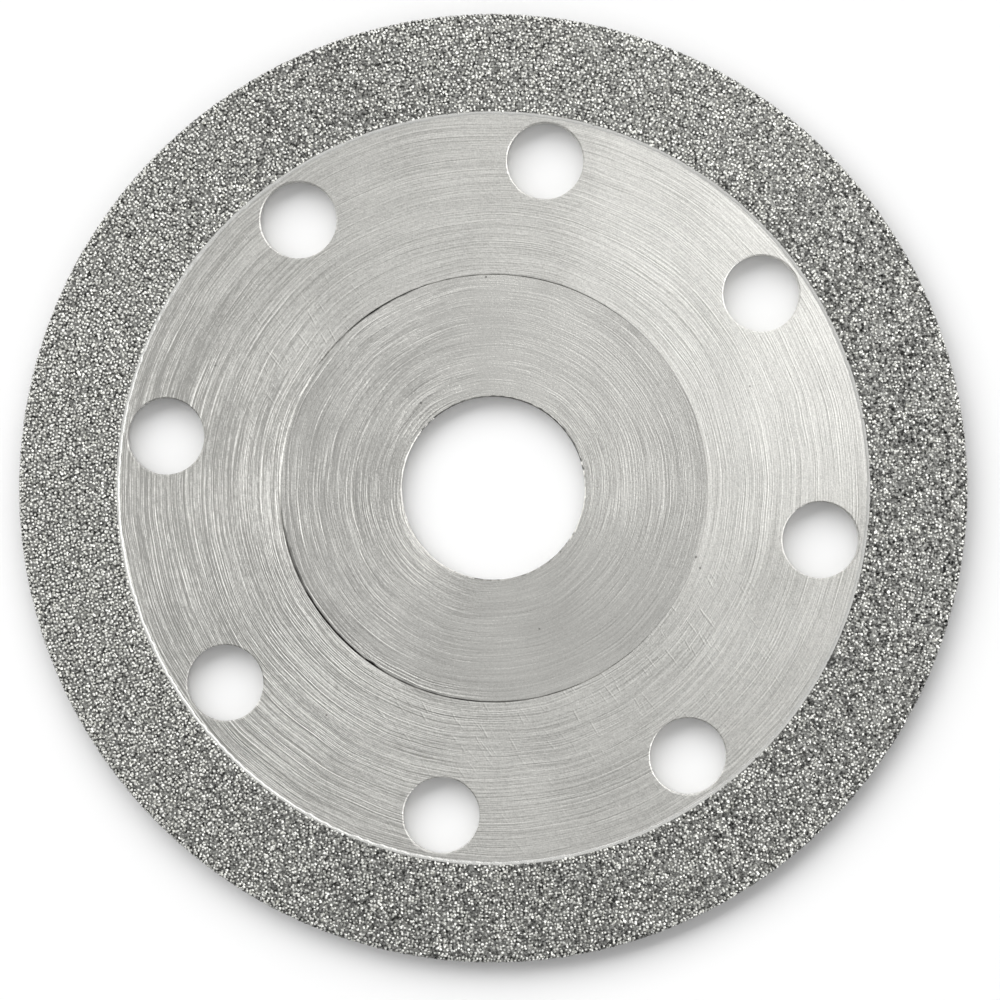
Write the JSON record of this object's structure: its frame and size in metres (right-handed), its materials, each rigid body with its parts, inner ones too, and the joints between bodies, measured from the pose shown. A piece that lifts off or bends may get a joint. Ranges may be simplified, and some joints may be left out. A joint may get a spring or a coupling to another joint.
{
  "type": "diamond cutting disc",
  "caption": "Flat round steel cutting disc with a diamond-coated rim, a recessed flange seat, a centre bore and a ring of cooling holes.",
  "frame": {"origin": "on the bore's axis at the height of the coating's underside, on which the disc lies", "axes": "+Z along the bore's axis and up; +X across the disc, 36 degrees before the first cooling hole"},
  "size_m": [0.115, 0.115, 0.0027],
  "materials": {
    "turned_steel": "satin",
    "diamond_grit": "rough grit in nickel"
  },
  "bodies": {
    "root": {"steel_body": "turned_steel", "diamond_coating": "diamond_grit"}
  },
  "joints": []
}
